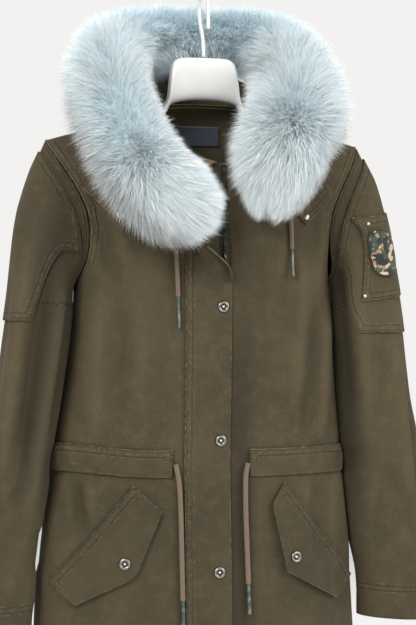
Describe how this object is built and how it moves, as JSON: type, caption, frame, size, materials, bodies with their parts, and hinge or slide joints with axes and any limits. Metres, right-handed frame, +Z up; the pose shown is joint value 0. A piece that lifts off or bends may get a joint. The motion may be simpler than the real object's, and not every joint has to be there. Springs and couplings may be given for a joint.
{
  "type": "fur trimmed parka on hanger",
  "caption": "Olive drawstring parka with an open front, storm flap, pocket flaps and a hood edged in thick faux fur, hanging on a plastic hanger.",
  "frame": {"origin": "the inner top of the hanger's hook, where it rests on the rail, in the coat's middle plane", "axes": "+Z up, -Y towards the coat's front, +X to the wearer's left"},
  "size_m": [0.627, 0.3131, 1.0082],
  "materials": {
    "twill": "matt washed cotton twill, olive khaki",
    "fur": "long faux fur pile, pale blue-grey",
    "cord": "braided cotton cord, taupe",
    "cord_tip": "worn grey-green metal",
    "snap_metal": "antique silver",
    "zip_tape": "woven tape, dark olive",
    "patch": "printed cotton, woodland camouflage",
    "label": "woven satin, dark navy, bare",
    "hanger_plastic": "white moulded plastic"
  },
  "bodies": {
    "root": {"back": "twill", "camouflage_patch": "patch", "flap_snap_1": "snap_metal", "flap_snap_2": "snap_metal", "flap_snap_3": "snap_metal", "flap_snap_4": "snap_metal", "front_left": "twill", "front_right": "twill", "fur_trim": "fur", "hanger": "hanger_plastic", "hood": "twill", "hood_cord_left": "cord", "hood_cord_left_tip": "cord_tip", "hood_cord_right": "cord", "hood_cord_right_tip": "cord_tip", "hook": "hanger_plastic", "neck_label": "label", "pocket_flap_left": "twill", "pocket_flap_right": "twill", "pocket_rivet_lower": "snap_metal", "pocket_rivet_upper": "snap_metal", "pocket_snap_left": "snap_metal", "pocket_snap_right": "snap_metal", "shoulder_tab_left": "twill", "shoulder_tab_right": "twill", "sleeve_left": "twill", "sleeve_pocket": "twill", "sleeve_right": "twill", "storm_flap": "twill", "tab_snap_left": "snap_metal", "tab_snap_right": "snap_metal", "upper_arm_panel_left": "twill", "upper_arm_panel_right": "twill", "waist_casing_back": "twill", "waist_casing_left": "twill", "waist_casing_right": "twill", "waist_cord_left": "cord", "waist_cord_left_tip": "cord_tip", "waist_cord_right": "cord", "waist_cord_right_tip": "cord_tip", "zip_slider": "snap_metal", "zip_tape_left": "zip_tape", "zip_tape_right": "zip_tape"}
  },
  "joints": []
}
